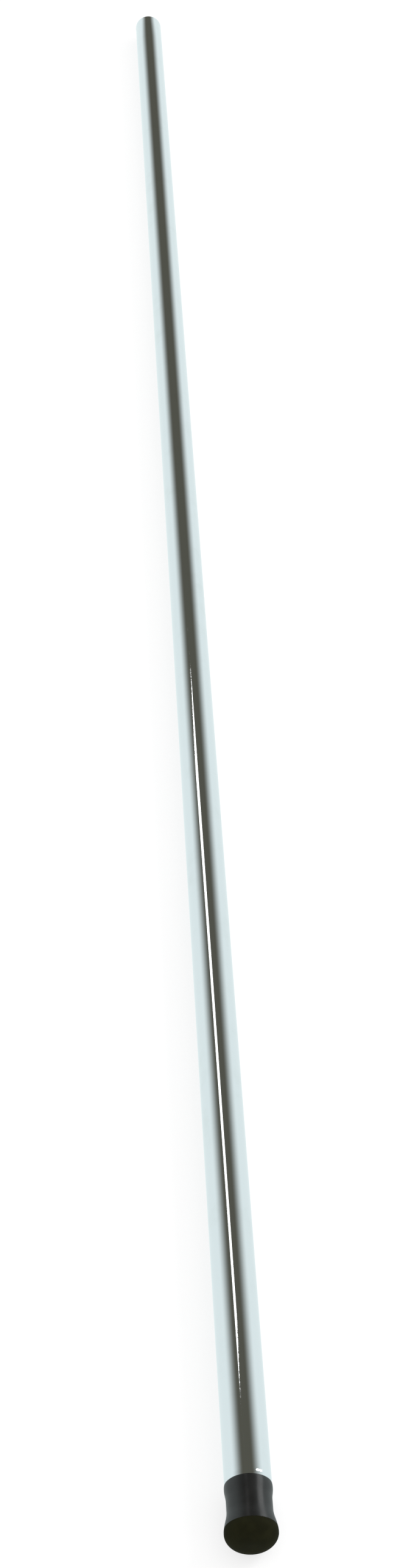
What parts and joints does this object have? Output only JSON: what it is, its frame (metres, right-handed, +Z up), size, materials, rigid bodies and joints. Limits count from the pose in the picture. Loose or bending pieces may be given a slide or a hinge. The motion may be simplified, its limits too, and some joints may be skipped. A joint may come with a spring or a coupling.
{
  "type": "ladder stabilizer pole",
  "caption": "Straight chromed round tube with a flared rubber foot pressed on one end and a plain open other end, lying on its side.",
  "frame": {"origin": "under the middle of the whole length, at the lowest point of the foot's flare, where the pole lies on a surface", "axes": "+Y along the tube from the foot to the open end, +Z up, away from the surface that it lies on"},
  "size_m": [0.0288, 1.686, 0.0288],
  "materials": {
    "chrome_plate": "bright polished chrome plate on welded steel tube, with fine polishing marks",
    "foot_rubber": "moulded black rubber with a soft sheen",
    "washer_steel": "plain stamped steel"
  },
  "bodies": {
    "root": {"tube": "chrome_plate", "foot": "foot_rubber", "foot_washer": "washer_steel"}
  },
  "joints": []
}
